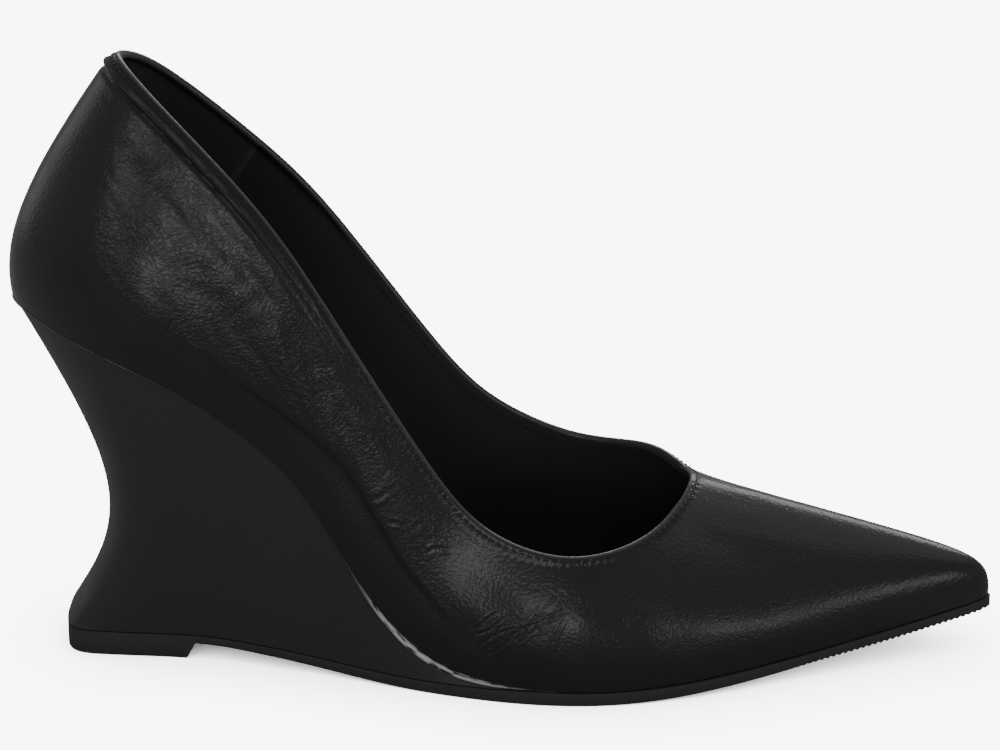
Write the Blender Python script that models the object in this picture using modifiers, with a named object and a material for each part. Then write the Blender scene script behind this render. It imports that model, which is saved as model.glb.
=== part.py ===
"""Pointed pump on a carved wedge: a right shoe, standing on its lift and tread.

Four pieces, as a maker puts them together: a one-piece outsole that thickens into the lift under
the heel, a covered wedge with a hollowed back, an insole, and the upper, a hollow shell that is
open at the collar and underneath. Metres, +X towards the toe, +Y towards the inner side of the
foot, +Z up. The origin is on the floor, at the middle of the lift.
"""

import bpy
import numpy as np

MM = 0.001

# Driving sizes
LENGTH = 248.5 * MM  # back of the upper to the tip of the toe
SEAT_WIDTH = 54 * MM  # the upper's lower edge, across the heel seat
BALL_WIDTH = 75 * MM  # the upper's lower edge, across the ball
SEAT_RISE = 88.5 * MM  # heel seat above the tread, at the very back
COUNTER_HEIGHT = 64 * MM  # collar above the seat, at the very back
TOE_SPRING = 10.5 * MM  # underside of the toe's tip above the floor
WALL = 1.8 * MM  # leather and lining together
HEM_WIDTH = 3.2 * MM  # turned-over edge around the collar
HEM_STEP = 0.45 * MM  # how far that edge stands out of the wall
HEM_RAMP = 0.5 * MM  # run of the step up to it
SOLE_THICK = 3.6 * MM  # outsole under the ball
SOLE_EDGE = 0.5 * MM  # outsole past the upper, in the forepart
SHANK_THICK = 2.2 * MM  # outsole just ahead of the lift
SHANK_RISE = 4.2 * MM  # underside of the outsole above the floor, just ahead of the lift
LIFT_SET = 13.3 * MM  # back of the lift, forward of the back of the upper
LIFT_LENGTH = 32 * MM
LIFT_WIDTH = 34 * MM
BREAST_SLOPE = 2.2 * MM  # run of the lift's slanted front face
TREAD_START = 110 * MM  # where the outsole comes down to the floor, from the back of the upper
INSOLE_THICK = 2.4 * MM
INSOLE_PLAY = 0.9 * MM  # between the insole's edge and the wall
INSOLE_TIP = 6 * MM  # width of the insole's blunt tip
WEDGE_TUCK = 0.4 * MM  # wedge's top edge, inside the upper's lower edge
WEDGE_FRONT = 0.9 * MM  # thickness left at the wedge's front edge
GAP = 0.3 * MM  # between pieces that meet

BACK_TO_ORIGIN = LIFT_SET + LIFT_LENGTH / 2

# Facets
UPPER_PLACES = 3  # columns between two sections
UPPER_ROWS = 13
WEDGE_PLACES = 36  # columns on each side
WEDGE_ROWS = 9
EVEN_STATIONS = 48  # rungs of the outsole and of the insole, between their rounded ends
END_STATIONS = 7  # more of them at each end
END_SHARE = 0.06  # length of each rounded end
SHARP_ANGLE = np.radians(40)

# The upper's lower edge. Each row is a section, from the back of the heel to the tip of the toe.
# along: share of LENGTH. fore: 0 where the widths are shares of SEAT_WIDTH, 1 of BALL_WIDTH.
# lateral, medial: half-widths. lift: share of SEAT_RISE. spring: share of TOE_SPRING.
# thick: the outsole's thickness under it, as a share of SOLE_THICK.
EDGE_COLUMNS = ("along", "fore", "lateral", "medial", "lift", "spring", "thick")
EDGE = {
    "back": (0.008, 0.0, 0.000, 0.000, 1.000, 0.00, 1.00),
    "back_turn": (0.028, 0.0, 0.215, 0.215, 0.995, 0.00, 1.00),
    "seat": (0.085, 0.0, 0.446, 0.450, 0.953, 0.00, 1.00),
    "seat_front": (0.160, 0.0, 0.495, 0.475, 0.858, 0.00, 1.00),
    "waist": (0.278, 0.0, 0.490, 0.430, 0.620, 0.00, 1.00),
    "arch": (0.345, 0.15, 0.510, 0.430, 0.360, 0.00, 1.00),
    "joint": (0.435, 0.60, 0.505, 0.455, 0.065, 0.00, 1.00),
    "ball": (0.555, 1.0, 0.525, 0.480, 0.000, 0.00, 1.00),
    "fore": (0.680, 1.0, 0.465, 0.435, 0.000, 0.06, 0.92),
    "toe_side": (0.820, 1.0, 0.262, 0.285, 0.000, 0.38, 0.78),
    "toe_turn": (0.955, 1.0, 0.062, 0.132, 0.000, 0.84, 0.80),
    "tip": (1.000, 1.0, -0.042, 0.042, 0.000, 1.00, 0.82),
}

# The wall between the lower edge and the collar is one conic arc in each section, which leans on
# a corner. out: corner outside the lower edge, up: corner above it, both as shares of
# COUNTER_HEIGHT. slide: how far the corner moves towards the collar's place along the shoe.
# sharp: the arc's weight, more for a tighter shoulder.
WALL_COLUMNS = ("out", "up", "slide", "sharp")
WALL_ARC = {
    "back": (0.055, 0.31, 0.0, 1.3),
    "back_turn": (0.070, 0.31, 0.1, 1.2),
    "seat": (0.095, 0.30, 0.3, 1.0),
    "seat_front": (0.095, 0.29, 0.4, 1.0),
    "waist": (0.080, 0.26, 0.4, 1.0),
    "arch": (0.065, 0.22, 0.4, 1.0),
    "joint": (0.055, 0.23, 0.3, 1.0),
    "ball": (0.045, 0.27, 0.0, 1.2),
    "fore": (0.036, 0.23, 0.0, 1.6),
    "toe_side": (0.022, 0.195, 0.0, 2.4),
    "toe_turn": (0.015, 0.180, 0.0, 3.2),
    "tip": (0.008, 0.165, 0.0, 3.4),
}

# The collar over each section. along: share of LENGTH. lateral, medial: half-widths as shares of
# SEAT_WIDTH. rise_lateral, rise_medial: above the lower edge, as shares of COUNTER_HEIGHT.
COLLAR_COLUMNS = ("along", "lateral", "medial", "rise_lateral", "rise_medial")
COLLAR = {
    "back": (0.119, 0.000, 0.000, 1.000, 1.000),
    "back_turn": (0.126, 0.125, 0.125, 0.996, 0.981),
    "seat": (0.160, 0.290, 0.285, 0.966, 0.936),
    "seat_front": (0.247, 0.420, 0.415, 0.775, 0.755),
    "waist": (0.341, 0.470, 0.465, 0.593, 0.661),
    "arch": (0.433, 0.505, 0.500, 0.379, 0.526),
    "joint": (0.500, 0.555, 0.545, 0.510, 0.675),
    "ball": (0.577, 0.583, 0.583, 0.520, 0.630),
    "fore": (0.645, 0.420, 0.430, 0.540, 0.642),
    "toe_side": (0.677, 0.225, 0.240, 0.555, 0.590),
    "toe_turn": (0.689, 0.090, 0.115, 0.515, 0.515),
    "tip": (0.692, -0.010, 0.010, 0.500, 0.500),
}

# The outsole's outline behind the ball, which the wedge stands on; ahead of it the outsole
# follows the upper. along: share of the way from the back of the lift to the ball. lateral,
# medial: half-widths as shares of LIFT_WIDTH, blended by fore into shares of BALL_WIDTH. hollow:
# how far the wedge's face moves forward over it, 1 at the back.
FLOOR_COLUMNS = ("along", "fore", "lateral", "medial", "hollow")
FLOOR = {
    "back": (0.000, 0.0, 0.000, 0.000, 1.00),
    "back_turn": (0.009, 0.0, 0.330, 0.330, 0.97),
    "seat": (0.085, 0.0, 0.480, 0.480, 0.66),
    "seat_front": (0.240, 0.0, 0.505, 0.500, 0.26),
    "waist": (0.400, 0.15, 0.525, 0.480, 0.09),
    "arch": (0.570, 0.45, 0.510, 0.440, 0.02),
    "joint": (0.775, 0.80, 0.520, 0.455, 0.00),
}

# The wedge's hollow back is one cubic arc. Its handles are moved forward and down by these
# shares of the wedge's height there.
HOLLOW_LOW_ON = 0.25
HOLLOW_HIGH_ON = 0.26
HOLLOW_HIGH_DOWN = 0.21


# Rings
def named(table, columns, column):
    """One column of a table, from the back to the tip."""
    place = columns.index(column)
    return np.array([row[place] for row in table.values()], float)


def around(lateral, medial):
    """A closed ring from two half-rings: back, outer side, tip, inner side."""
    return np.concatenate([lateral, medial[-2:0:-1]])


def from_back(distance):
    """Position along the shoe of a distance from the back of the upper."""
    return distance - BACK_TO_ORIGIN


def edge_z():
    """Height of the upper's lower edge in each section: outsole, gap, heel lift, toe spring."""
    sole = named(EDGE, EDGE_COLUMNS, "thick") * SOLE_THICK + GAP
    lift = named(EDGE, EDGE_COLUMNS, "lift") * SEAT_RISE
    return sole + lift + named(EDGE, EDGE_COLUMNS, "spring") * TOE_SPRING


def edge_ring():
    """The upper's lower edge, as points around the shoe."""
    fore = named(EDGE, EDGE_COLUMNS, "fore")
    width = SEAT_WIDTH + (BALL_WIDTH - SEAT_WIDTH) * fore
    x = from_back(named(EDGE, EDGE_COLUMNS, "along") * LENGTH)
    lateral = np.stack([x, -named(EDGE, EDGE_COLUMNS, "lateral") * width, edge_z()], 1)
    medial = np.stack([x, named(EDGE, EDGE_COLUMNS, "medial") * width, edge_z()], 1)
    return around(lateral, medial)


def collar_ring():
    """The collar, as points around the shoe, one over each point of the lower edge."""
    x = from_back(named(COLLAR, COLLAR_COLUMNS, "along") * LENGTH)
    sides = []
    for side, sign in (("lateral", -1), ("medial", 1)):
        y = sign * named(COLLAR, COLLAR_COLUMNS, side) * SEAT_WIDTH
        z = edge_z() + named(COLLAR, COLLAR_COLUMNS, "rise_" + side) * COUNTER_HEIGHT
        sides.append(np.stack([x, y, z], 1))
    return around(*sides)


def arc_ring():
    """The wall's arc values around the shoe: out, up, slide, sharp."""
    values = np.array(list(WALL_ARC.values()), float)
    return around(values, values)


def ring_knots():
    """Distance travelled around the shoe at each section, averaged over edge and collar."""
    def steps(ring):
        return np.linalg.norm(np.roll(ring, -1, 0) - ring, axis=1)

    step = 0.6 * steps(edge_ring()) + 0.4 * steps(collar_ring())
    return np.concatenate([[0], np.cumsum(step)])


def smooth_ring(points, knots, at):
    """Closed cubic curve through the points, even in slope and curvature, read off at places."""
    count = len(points)
    gap = np.diff(knots)
    system = np.zeros((count, count))
    right = np.zeros(points.shape)
    for i in range(count):
        before, after = gap[i - 1], gap[i]
        following = (i + 1) % count
        system[i, i - 1] += after
        system[i, i] += 2 * (before + after)
        system[i, following] += before
        right[i] = 3 * after * (points[i] - points[i - 1]) / before
        right[i] += 3 * before * (points[following] - points[i]) / after
    slope = np.linalg.solve(system, right)
    i = np.clip(np.searchsorted(knots, at, side="right") - 1, 0, count - 1)
    j = (i + 1) % count
    s = ((at - knots[i]) / gap[i])[:, None]
    h = gap[i][:, None]
    start = points[i] * (2 * s**3 - 3 * s**2 + 1) + slope[i] * h * (s**3 - 2 * s**2 + s)
    return start + points[j] * (3 * s**2 - 2 * s**3) + slope[j] * h * (s**3 - s**2)


def outward(points, knots, at):
    """Level direction that points out of a ring, at places around it."""
    step = knots[-1] * 1e-5
    ahead = smooth_ring(points, knots, np.mod(at + step, knots[-1]))
    behind = smooth_ring(points, knots, np.mod(at - step, knots[-1]))
    run = ahead - behind
    normal = np.stack([run[:, 1], -run[:, 0], np.zeros(len(at))], 1)
    return normal / np.linalg.norm(normal, axis=1)[:, None]


def places(per_section):
    """Places around the shoe, the same number between one section and the next."""
    knots = ring_knots()
    part = np.arange(per_section) / per_section
    return (knots[:-1, None] + np.diff(knots)[:, None] * part).ravel()


def wall_arcs(at):
    """Lower edge, corner, collar and sharpness of the wall's arc at places around the shoe."""
    knots = ring_knots()
    low = smooth_ring(edge_ring(), knots, at)
    top = smooth_ring(collar_ring(), knots, at)
    arc = smooth_ring(arc_ring(), knots, at)
    corner = low + outward(edge_ring(), knots, at) * arc[:, :1] * COUNTER_HEIGHT
    corner[:, 2] += arc[:, 1] * COUNTER_HEIGHT
    corner[:, 0] += arc[:, 2] * (top[:, 0] - low[:, 0])
    return low, corner, top, arc[:, 3]


def wall_rows(at, heights):
    """Rings of the upper's face, at shares of the way up the arc: one a ring, or one a point."""
    low, corner, top, sharp = wall_arcs(at)
    v = np.asarray(heights, float)
    v = v.reshape(len(v), -1, 1)
    weight = 2 * sharp[None, :, None] * v * (1 - v)
    whole = (1 - v) ** 2 + weight + v**2
    return ((1 - v) ** 2 * low + weight * corner + v**2 * top) / whole


def seat_z(x):
    """Height of the upper's lower edge at a place along the shoe."""
    at = places(16)
    side = smooth_ring(edge_ring(), ring_knots(), at[: len(at) // 2 + 1])
    return np.interp(x, side[:, 0], side[:, 2])


def section_x(table, columns, name):
    """Place along the shoe of one section of the upper's lower edge or collar."""
    return from_back(table[name][columns.index("along")] * LENGTH)


def sole_z(x):
    """Underside and top of the outsole at a place along the shoe: lift, shank, tread, toe."""
    ball = section_x(EDGE, EDGE_COLUMNS, "ball")
    breast = from_back(LIFT_SET + LIFT_LENGTH)
    shank = breast + BREAST_SLOPE
    passed = np.clip((x - shank) / (from_back(TREAD_START) - shank), 0, 1)
    under = SHANK_RISE * (0.5 + 0.5 * np.cos(np.pi * passed))
    thick = SHANK_THICK + (SOLE_THICK - SHANK_THICK) * np.clip((x - shank) / (ball - shank), 0, 1)
    along = from_back(named(EDGE, EDGE_COLUMNS, "along") * LENGTH)
    fore_thick = np.interp(x, along, named(EDGE, EDGE_COLUMNS, "thick")) * SOLE_THICK
    fore_top = seat_z(x) - GAP
    top = np.where(x < ball, under + thick, fore_top)
    low = np.where(x < ball, under, np.maximum(fore_top - fore_thick, 0))
    return low * np.clip((x - breast) / BREAST_SLOPE, 0, 1), top


def floor_ring():
    """The outsole's outline around the shoe: its own behind the ball, the upper's ahead of it."""
    edge = edge_ring()
    knots = ring_knots()
    ring = edge + outward(edge, knots, knots[:-1]) * SOLE_EDGE
    ball = EDGE["ball"][EDGE_COLUMNS.index("along")] * LENGTH
    width = LIFT_WIDTH + (BALL_WIDTH - LIFT_WIDTH) * named(FLOOR, FLOOR_COLUMNS, "fore")
    x = from_back(LIFT_SET + (ball - LIFT_SET) * named(FLOOR, FLOOR_COLUMNS, "along"))
    lateral = -named(FLOOR, FLOOR_COLUMNS, "lateral") * width
    medial = named(FLOOR, FLOOR_COLUMNS, "medial") * width
    for i in range(len(FLOOR)):
        ring[-i] = (x[i], medial[i], 0)
        ring[i] = (x[i], lateral[i], 0)
    return ring


def wedge_arcs(at):
    """Foot, two handles and head of the cubic arc up the wedge's side at places around it."""
    knots = ring_knots()
    edge = smooth_ring(edge_ring(), knots, at)
    head = edge - outward(edge_ring(), knots, at) * WEDGE_TUCK
    head[:, 2] = seat_z(head[:, 0]) - GAP
    foot = smooth_ring(floor_ring(), knots, at)
    foot[:, 2] = sole_z(foot[:, 0])[1] + GAP
    half = np.zeros(len(EDGE))
    half[: len(FLOOR)] = named(FLOOR, FLOOR_COLUMNS, "hollow")
    hollow = smooth_ring(around(half, half)[:, None], knots, at)
    height = (head[:, 2:] - foot[:, 2:]) * hollow
    low = foot + (head - foot) / 3 + height * (HOLLOW_LOW_ON, 0, 0)
    high = foot + (head - foot) * 2 / 3 + height * (HOLLOW_HIGH_ON, 0, -HOLLOW_HIGH_DOWN)
    return foot, low, high, head


def wedge_rows(at, heights):
    """Rings of the wedge's side, each at a share of the way up."""
    foot, low, high, head = wedge_arcs(at)
    v = np.asarray(heights)[:, None, None]
    start = (1 - v) ** 3 * foot + 3 * v * (1 - v) ** 2 * low
    return start + 3 * v**2 * (1 - v) * high + v**3 * head


def wedge_places(count):
    """Places around the wedge, from the back along both sides to where it has thinned out."""
    knots = ring_knots()
    tip = knots[len(EDGE) - 1]
    fine = np.linspace(0, tip, 241)
    foot, _, _, head = wedge_arcs(fine)
    end = fine[np.argmax(head[:, 2] - foot[:, 2] < WEDGE_FRONT)]
    share = np.linspace(0, 1, count)
    medial = knots[-1] - (knots[-1] - tip) * (end / tip) * share
    return np.concatenate([end * share, medial[:0:-1]])


def upper_rows(at, count):
    """Rings of the upper's outer face, even up the wall, then the turned edge standing out."""
    fine = np.linspace(0, 1, 81)
    face = wall_rows(at, fine)
    run = np.linalg.norm(np.diff(face, axis=0), axis=2)
    run = np.vstack([np.zeros(len(at)), np.cumsum(run, axis=0)])
    hem = run[-1] - HEM_WIDTH
    wanted = [share * hem for share in np.linspace(0, 1, count)]
    wanted = np.array(wanted + [hem + HEM_RAMP, run[-1]])
    heights = [np.interp(wanted[:, i], run[:, i], fine) for i in range(len(at))]
    points = wall_rows(at, np.stack(heights, 1))
    sideways = np.roll(points, -1, 1) - np.roll(points, 1, 1)
    normal = np.cross(sideways, np.gradient(points, axis=0))
    normal /= np.linalg.norm(normal, axis=2)[:, :, None]
    points[-2:] += normal[-2:] * HEM_STEP
    return points


def halves(ring):
    """A fine closed outline as two lines from its rearmost to its foremost point."""
    ring = np.roll(ring, -np.argmin(ring[:, 0]), 0)
    tip = np.argmax(ring[:, 0])
    medial = np.vstack([ring[tip:], ring[:1]])[::-1]
    return ring[: tip + 1], medial


def stations(start, end, extra=()):
    """Places along the shoe, closer at both rounded ends, with the extra ones among them."""
    turn = (end - start) * END_SHARE
    closer = turn * np.linspace(0, 1, END_STATIONS, endpoint=False) ** 2
    even = np.linspace(start + turn, end - turn, EVEN_STATIONS)
    spread = np.concatenate([start + closer, even, end - closer[::-1]])
    near = [np.min(np.abs(np.subtract(extra, x)), initial=1) for x in spread]
    return np.sort(np.concatenate([spread[np.array(near) > 0.8 * MM], extra]))


def plate_rings(outline, x, bottom, top):
    """Bottom and top ring of a plate with an outline, read off at places along the shoe."""
    lateral, medial = halves(outline)
    y_lateral = np.interp(x, lateral[:, 0], lateral[:, 1])
    y_medial = np.interp(x, medial[:, 0], medial[:, 1])
    for end in (0, -1):
        y_lateral[end] = y_medial[end] = (y_lateral[end] + y_medial[end]) / 2
    ring_x = around(x, x)
    ring_y = around(y_lateral, y_medial)
    rings = []
    for height in (bottom, top):
        rings.append(np.stack([ring_x, ring_y, around(height, height)], 1))
    return np.array(rings)


# Solids
def mesh_object(name, points, faces, material, collection):
    """A mesh object with its faces turned outward and its round faces smooth."""
    mesh = bpy.data.meshes.new(name)
    mesh.from_pydata([tuple(point) for point in points], [], faces)
    mesh.shade_smooth()
    mesh.set_sharp_from_angle(angle=SHARP_ANGLE)
    mesh.materials.append(material)
    part = bpy.data.objects.new(name, mesh)
    collection.objects.link(part)
    return part


def side_faces(rows, count):
    """Quads between stacked rings, facing out of rings that run anticlockwise from above."""
    faces = []
    for row in range(rows - 1):
        for i in range(count):
            j = (i + 1) % count
            low, high = row * count, (row + 1) * count
            faces.append((low + i, low + j, high + j, high + i))
    return faces


def cap_faces(first, count, upward):
    """A ring closed by rungs from one side of the shoe to the other."""
    faces = []
    for k in range(count // 2 + 1):
        rung = (k, k + 1, (count - k - 1) % count, (count - k) % count)
        corners = list(dict.fromkeys(rung))
        if k + 1 > count - k - 1 or len(corners) < 3:
            continue
        turned = corners if upward else corners[::-1]
        faces.append(tuple(first + corner for corner in turned))
    return faces


def stacked_solid(name, rings, material, collection):
    """A closed solid through stacked rings, closed by rungs at its bottom and top."""
    rows, count = rings.shape[:2]
    faces = side_faces(rows, count)
    faces += cap_faces(0, count, False)
    faces += cap_faces((rows - 1) * count, count, True)
    return mesh_object(name, rings.reshape(-1, 3), faces, material, collection)


def add_upper(material, collection):
    """The upper: its outer face, open at the collar and underneath, thickened inward."""
    rings = upper_rows(places(UPPER_PLACES), UPPER_ROWS)
    rows, count = rings.shape[:2]
    faces = side_faces(rows, count)
    upper = mesh_object("upper", rings.reshape(-1, 3), faces, material, collection)
    wall = upper.modifiers.new("wall", "SOLIDIFY")
    wall.thickness = WALL
    wall.offset = -1
    wall.use_even_offset = True
    return upper


def add_insole(material, collection):
    """The insole: a plate inside the upper's lower edge, lying on the wedge and the outsole."""
    knots = ring_knots()
    fine = places(24)
    inset = outward(edge_ring(), knots, fine) * (WALL + INSOLE_PLAY)
    outline = smooth_ring(edge_ring(), knots, fine) - inset
    lateral, medial = halves(outline)
    width = np.interp(lateral[:, 0], medial[:, 0], medial[:, 1]) - lateral[:, 1]
    x = stations(lateral[0, 0], lateral[width > INSOLE_TIP, 0].max())
    rings = plate_rings(outline, x, seat_z(x), seat_z(x) + INSOLE_THICK)
    return stacked_solid("insole", rings, material, collection)


def add_wedge(material, collection):
    """The covered wedge, between the outsole and the upper's lower edge, hollow at the back."""
    rings = wedge_rows(wedge_places(WEDGE_PLACES), np.linspace(0, 1, WEDGE_ROWS))
    return stacked_solid("wedge", rings, material, collection)


def add_outsole(material, collection):
    """The outsole: lift, slanted breast, shank, tread and sprung toe in one plate."""
    outline = smooth_ring(floor_ring(), ring_knots(), places(24))
    lateral, _ = halves(outline)
    breast = from_back(LIFT_SET + LIFT_LENGTH)
    edges = (breast, breast + BREAST_SLOPE, from_back(TREAD_START))
    x = stations(lateral[0, 0], lateral[-1, 0], edges)
    low, top = sole_z(x)
    rings = plate_rings(outline, x, low, top)
    return stacked_solid("outsole", rings, material, collection)


def make_material(name, color, roughness):
    """A plain Principled material."""
    material = bpy.data.materials.new(name)
    material.use_nodes = True
    shader = material.node_tree.nodes["Principled BSDF"]
    shader.inputs["Base Color"].default_value = (*color, 1)
    shader.inputs["Roughness"].default_value = roughness
    return material


def clear_scene():
    """Remove what the start-up file holds."""
    for old in list(bpy.data.objects):
        bpy.data.objects.remove(old)


def build():
    """All four pieces, in a collection of their own."""
    clear_scene()
    collection = bpy.data.collections.new("wedge_pump")
    bpy.context.scene.collection.children.link(collection)
    leather = make_material("black_leather", (0.012, 0.012, 0.013), 0.35)
    cover = make_material("black_wedge_cover", (0.016, 0.016, 0.017), 0.55)
    lining = make_material("black_lining", (0.02, 0.02, 0.021), 0.6)
    rubber = make_material("black_rubber", (0.014, 0.014, 0.015), 0.7)
    add_outsole(rubber, collection)
    add_wedge(cover, collection)
    add_insole(lining, collection)
    add_upper(leather, collection)


build()
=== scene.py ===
import math

import bpy
import numpy as np
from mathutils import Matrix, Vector


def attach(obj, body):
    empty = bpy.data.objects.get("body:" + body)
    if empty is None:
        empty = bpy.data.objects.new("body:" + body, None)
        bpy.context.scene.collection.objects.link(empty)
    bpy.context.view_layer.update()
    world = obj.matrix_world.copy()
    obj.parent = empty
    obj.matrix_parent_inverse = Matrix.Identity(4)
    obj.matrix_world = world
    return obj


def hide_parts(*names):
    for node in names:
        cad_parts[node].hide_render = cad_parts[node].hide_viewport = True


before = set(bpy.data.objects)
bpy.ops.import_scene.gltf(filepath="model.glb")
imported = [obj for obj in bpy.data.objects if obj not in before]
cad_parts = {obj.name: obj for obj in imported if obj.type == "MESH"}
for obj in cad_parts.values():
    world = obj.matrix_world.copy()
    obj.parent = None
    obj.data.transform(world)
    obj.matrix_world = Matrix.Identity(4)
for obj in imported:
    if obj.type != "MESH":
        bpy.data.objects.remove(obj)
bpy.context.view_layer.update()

MM = 0.001

# Camera: a long lens square to the shoe's outer side, a little towards the toe and above it.
# The sizes are the photo's own viewing distance and angles.
CAMERA_DISTANCE = 1.05
CAMERA_RISE = math.radians(21.5)
CAMERA_TURN = math.radians(3.0)
CAMERA_LENS_MM = 151.2
CAMERA_SHIFT = (-0.002, -0.025)
CAMERA_TARGET = Vector((0.0952, 0, 0.079))

away = Vector(
    (
        math.sin(CAMERA_TURN) * math.cos(CAMERA_RISE),
        -math.cos(CAMERA_TURN) * math.cos(CAMERA_RISE),
        math.sin(CAMERA_RISE),
    )
)
camera_data = bpy.data.cameras.new("camera")
camera_data.lens = CAMERA_LENS_MM
camera_data.sensor_width = 36
camera_data.shift_x, camera_data.shift_y = CAMERA_SHIFT
camera_data.clip_start = 0.01
camera = bpy.data.objects.new("camera", camera_data)
camera.location = CAMERA_TARGET + away * CAMERA_DISTANCE
camera.rotation_euler = away.to_track_quat("Z", "Y").to_euler()
bpy.context.scene.collection.objects.link(camera)
bpy.context.scene.camera = camera


# Studio: a pale floor past every edge of the picture, a dim even sky, and soft boxes around.
# Each soft box gives one highlight: the side, the quarter, the heel's edge, the toe's ridge,
# the vamp and the far edge of the collar and the toe.
FLOOR_COLOR = (0.93, 0.93, 0.935, 1)
FLOOR_SIZE = 12.0
FLOOR_GLOW = 8.0
SHADE_REACH = 25 * MM
SHADE_SAMPLES = 8
FLOOR_IN_GLOSS = 0.52
SKY_STRENGTH = 0.24
LIT_FROM = Vector((0.08, 0, 0.07))
SOFT_BOXES = {
    # name: (azimuth, elevation, distance, width, height, brightness)
    "side": (-94, 8, 1.7, 0.68, 0.55, 1.6),
    "rear_side": (-130, 17, 1.7, 0.70, 0.28, 1.5),
    "heel": (152, 6, 1.3, 0.5, 0.6, 0.42),
    "toe": (-40, 8, 1.6, 0.44, 0.42, 1.35),
    "over": (25, 62, 1.8, 1.6, 1.6, 0.31),
    "behind": (80, 30, 2.2, 1.8, 0.9, 2.4),
}


def add_node(tree, kind, links=None, **values):
    """A shader node with its properties set, and its sockets by name: a value or an output."""
    node = tree.nodes.new("ShaderNode" + kind)
    for name, value in values.items():
        setattr(node, name, value)
    for socket, source in (links or {}).items():
        if hasattr(source, "links"):
            tree.links.new(source, node.inputs[socket])
        else:
            node.inputs[socket].default_value = source
    return node


def math_node(tree, operation, *terms, clamp=False):
    """Output of one Math node over one, two or three terms."""
    node = add_node(tree, "Math", dict(enumerate(terms)), operation=operation)
    node.use_clamp = clamp
    return node.outputs[0]


def mix_node(tree, share, first, second):
    """Output of one Mix node: the first colour where the share is 0, the second at 1."""
    links = {"Factor": share, "A": first, "B": second}
    return add_node(tree, "Mix", links, data_type="RGBA").outputs["Result"]


def plain_material(name, color, roughness):
    """A Principled material with one colour and roughness."""
    material = bpy.data.materials.new(name)
    material.use_nodes = True
    shader = material.node_tree.nodes["Principled BSDF"]
    shader.inputs["Base Color"].default_value = color
    shader.inputs["Roughness"].default_value = roughness
    return material


def feed(material, socket, source):
    """Lead a node's output to a socket of the material's shader."""
    tree = material.node_tree
    tree.links.new(source, tree.nodes["Principled BSDF"].inputs[socket])


def floor_material():
    """White to the camera, grey to the light that bounces on, as on a table cut out in print."""
    material = plain_material("studio_floor", FLOOR_COLOR, 0.9)
    tree = material.node_tree
    shader = tree.nodes["Principled BSDF"]
    seen = add_node(tree, "LightPath").outputs["Is Camera Ray"]
    grey = (FLOOR_IN_GLOSS, FLOOR_IN_GLOSS, FLOOR_IN_GLOSS, 1)
    feed(material, "Base Color", mix_node(tree, seen, grey, FLOOR_COLOR))
    # Near the shoe the glow is darkened by ambient occlusion: a painted contact shadow on the floor.
    near = add_node(tree, "AmbientOcclusion", {"Distance": SHADE_REACH})
    near.samples = SHADE_SAMPLES
    shade = math_node(tree, "MULTIPLY", seen, near.outputs["AO"])
    feed(material, "Emission Strength", math_node(tree, "MULTIPLY", shade, FLOOR_GLOW))
    shader.inputs["Emission Color"].default_value = (1, 1, 1, 1)
    shader.inputs["Specular IOR Level"].default_value = 0
    return material


bpy.ops.mesh.primitive_plane_add(size=FLOOR_SIZE)
floor = bpy.context.object
floor.name = "studio_floor"
floor.data.materials.append(floor_material())

world = bpy.data.worlds.new("studio_sky")
world.use_nodes = True
world.node_tree.nodes["Background"].inputs["Color"].default_value = (1, 1, 1, 1)
world.node_tree.nodes["Background"].inputs["Strength"].default_value = SKY_STRENGTH
bpy.context.scene.world = world

for box_name, (azimuth, elevation, distance, width, height, brightness) in SOFT_BOXES.items():
    toward = Vector((math.cos(math.radians(azimuth)), math.sin(math.radians(azimuth)), 0))
    toward *= math.cos(math.radians(elevation))
    toward.z = math.sin(math.radians(elevation))
    light = bpy.data.lights.new(box_name, "AREA")
    light.shape = "RECTANGLE"
    light.size = width
    light.size_y = height
    light.energy = brightness * math.pi * width * height
    lamp = bpy.data.objects.new(box_name, light)
    lamp.location = LIT_FROM + toward * distance
    lamp.rotation_euler = toward.to_track_quat("Z", "Y").to_euler()
    bpy.context.scene.collection.objects.link(lamp)


# The last: the form that the upper is pulled over and the wedge is cut to.
# Its lower edge, its shoulder and the collar are closed curves through twelve sections a side.
LENGTH = 248.5 * MM
SEAT_WIDTH = 54 * MM
BALL_WIDTH = 75 * MM
SEAT_RISE = 88.5 * MM
COUNTER_HEIGHT = 64 * MM
TOE_SPRING = 10.5 * MM
SOLE_THICK = 3.6 * MM
LIFT_WIDTH = 34 * MM
LIFT_SET = 13.3 * MM
LIFT_LENGTH = 32 * MM
GAP = 0.3 * MM
BACK_TO_ORIGIN = LIFT_SET + LIFT_LENGTH / 2
FACE_STEPS = 160
TINY_SHARE = 1e-5
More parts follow.
